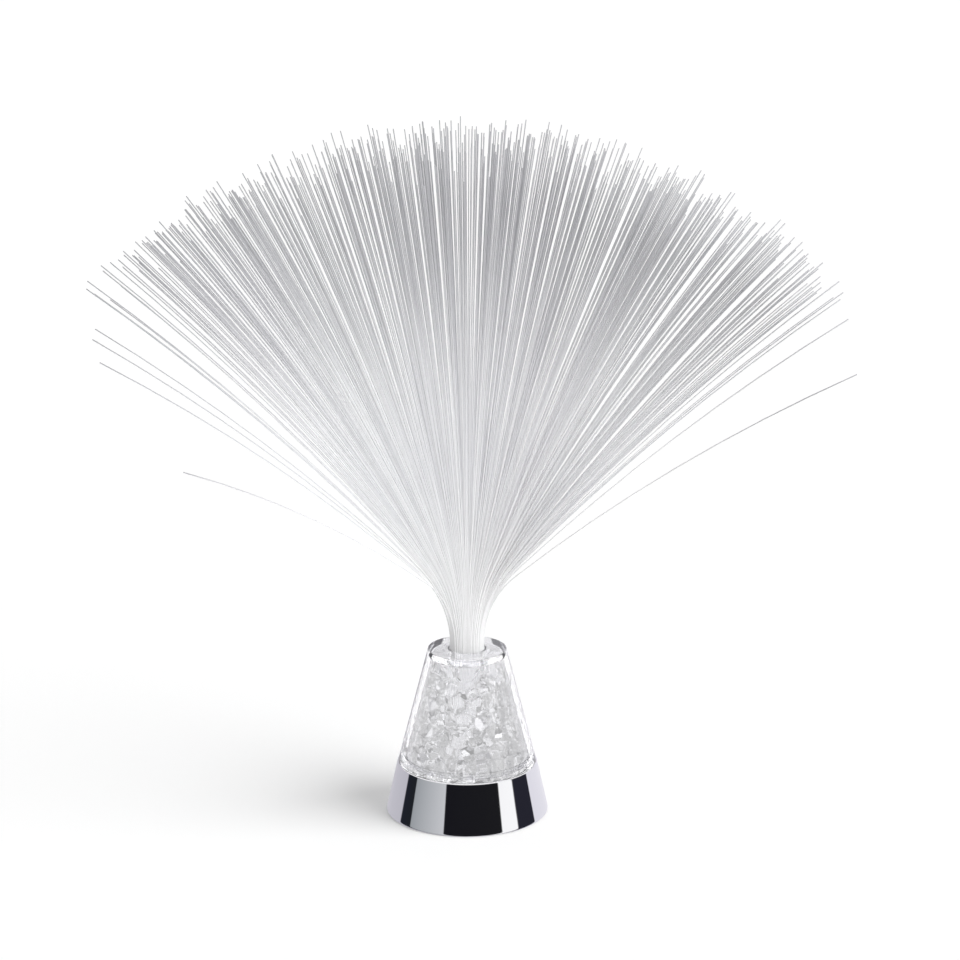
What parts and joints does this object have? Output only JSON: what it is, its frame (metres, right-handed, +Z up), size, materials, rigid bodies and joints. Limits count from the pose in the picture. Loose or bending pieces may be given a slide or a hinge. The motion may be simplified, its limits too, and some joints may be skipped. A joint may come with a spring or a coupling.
{
  "type": "fiber optic lamp",
  "caption": "Table lamp with a fan spray of light fibres rising from a clear cone of crystal chips on a chrome base.",
  "frame": {"origin": "centre of the flat rim that the lamp rests on, on the axis of the base and the cone", "axes": "+Z up along the lamp's axis, -Y towards the front, +X to the right seen from the front"},
  "size_m": [0.3421, 0.1831, 0.3234],
  "materials": {
    "chrome_plating": "bright chrome plate on moulded plastic",
    "clear_plastic": "clear polished",
    "crystal_plastic": "clear faceted",
    "fibre_plastic": "pale translucent",
    "black_plastic": "fine moulded grain",
    "knob_plastic": "satin",
    "white_plastic": "white moulded",
    "cell_wrap": "plain glossy sleeve",
    "contact_metal": "nickel plated",
    "screw_steel": "zinc plated",
    "board_green": "solder mask",
    "led_body": "white package",
    "chip_black": "moulded epoxy",
    "terminal_brass": "tinned brass",
    "wire_red": "insulated wire",
    "wire_black": "insulated wire"
  },
  "bodies": {
    "lamp": {"base_shell": "chrome_plating", "bottom_cover": "black_plastic", "cover_screws": "screw_steel", "circuit_board": "board_green", "board_screws": "screw_steel", "leds": "led_body", "led_reflector": "white_plastic", "controller_chip": "chip_black", "resistors": "chip_black", "contact_plates": "contact_metal", "contact_springs": "contact_metal", "switch_housing": "black_plastic", "switch_terminals": "terminal_brass", "battery_lead": "wire_red", "switch_lead": "wire_black", "board_lead": "wire_black", "clear_cone": "clear_plastic", "fibre_sleeve": "clear_plastic", "crystals": "crystal_plastic", "fibres": "fibre_plastic", "battery_cell_1": "cell_wrap", "battery_cell_2": "cell_wrap", "battery_cell_3": "cell_wrap"},
    "door": {"battery_door": "black_plastic"},
    "switch": {"switch_knob": "knob_plastic"}
  },
  "joints": [
    {"name": "door_hinge", "type": "hinge", "parent": "lamp", "child": "door", "pos_m": [0, -0.0146, 0.0034], "axis": [-1, 0, 0], "range_deg": [0, 85]},
    {"name": "switch_slide", "type": "slide", "parent": "lamp", "child": "switch", "axis": [1, 0, 0], "range_m": [0, 0.0025]}
  ]
}
